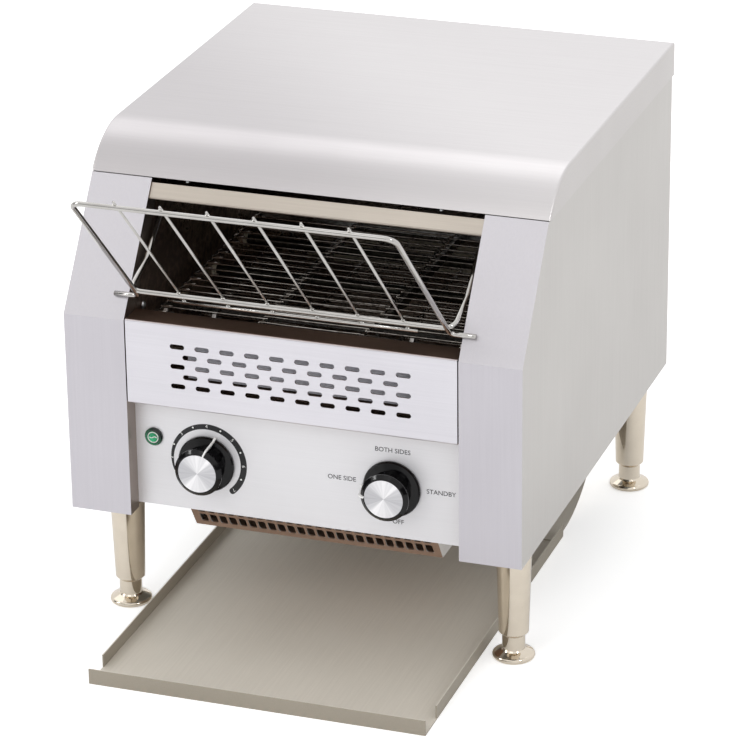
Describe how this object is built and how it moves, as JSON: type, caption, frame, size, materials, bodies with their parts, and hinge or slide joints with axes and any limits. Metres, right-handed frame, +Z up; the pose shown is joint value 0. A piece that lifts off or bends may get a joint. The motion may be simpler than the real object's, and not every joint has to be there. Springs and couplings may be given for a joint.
{
  "type": "conveyor toaster",
  "caption": "Countertop conveyor toaster: folded steel body on levelling legs, wire belt between heating elements, wire loading rack, curved chute and sliding toast tray.",
  "frame": {"origin": "middle of the whole object's footprint, on the surface that it stands on", "axes": "+Z up; the controls and the feed opening face -Y; +X is to the right of someone who faces the controls"},
  "size_m": [0.368, 0.5454, 0.4082],
  "materials": {
    "cover_steel": "fine brushed stainless sheet",
    "side_steel": "brushed stainless sheet",
    "panel_steel": "satin stainless sheet",
    "inner_steel": "plain stainless sheet, heat tinted",
    "tray_steel": "brushed stainless sheet",
    "bright_chrome": "bright plating",
    "belt_wire": "drawn stainless wire",
    "turned_steel": "turned steel",
    "zinc_steel": "zinc-plated steel",
    "element_alloy": "oxidised nickel alloy sheath",
    "ceramic": "unglazed steatite ceramic",
    "bronze": "sintered bronze",
    "black_gloss": "moulded phenolic",
    "spun_aluminium": "spun and lacquered",
    "black_moulding": "moulded nylon",
    "grey_moulding": "moulded nylon",
    "bezel_green": "moulded polycarbonate",
    "lens_green": "translucent polycarbonate",
    "motor_paint": "black enamel"
  },
  "bodies": {
    "housing": {"back_panel": "side_steel", "back_panel_screws": "zinc_steel", "base_plate": "inner_steel", "belt_rails": "turned_steel", "cable_gland": "black_moulding", "control_panel": "panel_steel", "conveyor_belt": "belt_wire", "cover_screws": "zinc_steel", "crumb_pan": "inner_steel", "drive_chain": "turned_steel", "element_insulators": "ceramic", "fan_frame": "black_moulding", "gear_motor": "motor_paint", "gland_nut": "black_moulding", "heating_elements_lower": "element_alloy", "heating_elements_upper": "element_alloy", "hood_deflector": "inner_steel", "inner_wall_left": "inner_steel", "inner_wall_right": "inner_steel", "lamp_bezel": "bezel_green", "lamp_lens": "lens_green", "leg_front_left": "bright_chrome", "leg_front_right": "bright_chrome", "leg_nuts": "zinc_steel", "leg_rear_left": "bright_chrome", "leg_rear_right": "bright_chrome", "mode_switch": "grey_moulding", "shaft_bushes": "bronze", "side_panel_left": "side_steel", "side_panel_right": "side_steel", "speed_potentiometer": "zinc_steel", "terminal_block": "grey_moulding", "toast_chute": "tray_steel", "top_cover": "cover_steel", "upper_reflector": "inner_steel", "vent_baffle": "inner_steel", "vent_panel": "panel_steel", "vent_trough": "inner_steel"},
    "belt_drive": {"drive_shaft": "turned_steel", "drive_sprockets": "turned_steel", "shaft_chain_sprocket": "turned_steel"},
    "belt_idler": {"idler_shaft": "turned_steel", "idler_sprockets": "turned_steel"},
    "motor_output": {"motor_shaft": "turned_steel", "motor_sprocket": "turned_steel"},
    "fan": {"fan_rotor": "black_moulding"},
    "speed_control": {"speed_knob": "black_gloss", "speed_knob_cap": "spun_aluminium", "speed_spindle": "zinc_steel"},
    "mode_control": {"mode_knob": "black_gloss", "mode_knob_cap": "spun_aluminium", "mode_spindle": "zinc_steel"},
    "tray": {"toast_tray": "tray_steel"},
    "rack": {"loading_rack": "bright_chrome"},
    "foot_front_left_body": {"foot_front_left": "bright_chrome"},
    "foot_front_right_body": {"foot_front_right": "bright_chrome"},
    "foot_rear_left_body": {"foot_rear_left": "bright_chrome"},
    "foot_rear_right_body": {"foot_rear_right": "bright_chrome"}
  },
  "joints": [
    {"name": "belt_drive_spin", "type": "hinge", "parent": "housing", "child": "belt_drive", "pos_m": [0, -0.11265, 0.23658], "axis": [-1, 0, 0], "continuous": true, "deforming": ["conveyor_belt", "drive_chain"]},
    {"name": "belt_idler_spin", "type": "hinge", "parent": "housing", "child": "belt_idler", "pos_m": [0, 0.17535, 0.23658], "axis": [-1, 0, 0], "continuous": true},
    {"name": "motor_spin", "type": "hinge", "parent": "housing", "child": "motor_output", "pos_m": [0.15, -0.05925, 0.15101], "axis": [-1, 0, 0], "continuous": true},
    {"name": "fan_spin", "type": "hinge", "parent": "housing", "child": "fan", "pos_m": [-0.04, -0.02925, 0.088], "axis": [0, 0, 1], "continuous": true},
    {"name": "speed_turn", "type": "hinge", "parent": "housing", "child": "speed_control", "pos_m": [-0.0754, -0.15925, 0.1483], "axis": [0, -1, 0], "range_deg": [-115, 159]},
    {"name": "mode_turn", "type": "hinge", "parent": "housing", "child": "mode_control", "pos_m": [0.0754, -0.15925, 0.1483], "axis": [0, -1, 0], "range_deg": [-180, 90]},
    {"name": "tray_slide", "type": "slide", "parent": "housing", "child": "tray", "axis": [0, -1, 0], "range_m": [0, 0.36]},
    {"name": "rack_lift", "type": "slide", "parent": "housing", "child": "rack", "axis": [0, -0.8155, 0.5788], "range_m": [0, 0.06]},
    {"name": "foot_front_left_screw", "type": "slide", "parent": "housing", "child": "foot_front_left_body", "axis": [0, 0, -1], "range_m": [0, 0.012]},
    {"name": "foot_front_right_screw", "type": "slide", "parent": "housing", "child": "foot_front_right_body", "axis": [0, 0, -1], "range_m": [0, 0.012]},
    {"name": "foot_rear_left_screw", "type": "slide", "parent": "housing", "child": "foot_rear_left_body", "axis": [0, 0, -1], "range_m": [0, 0.012]},
    {"name": "foot_rear_right_screw", "type": "slide", "parent": "housing", "child": "foot_rear_right_body", "axis": [0, 0, -1], "range_m": [0, 0.012]}
  ],
  "couplings": [
    {"joint": "belt_idler_spin", "follows": "belt_drive_spin", "ratio": 1},
    {"joint": "motor_spin", "follows": "belt_drive_spin", "ratio": 2}
  ]
}
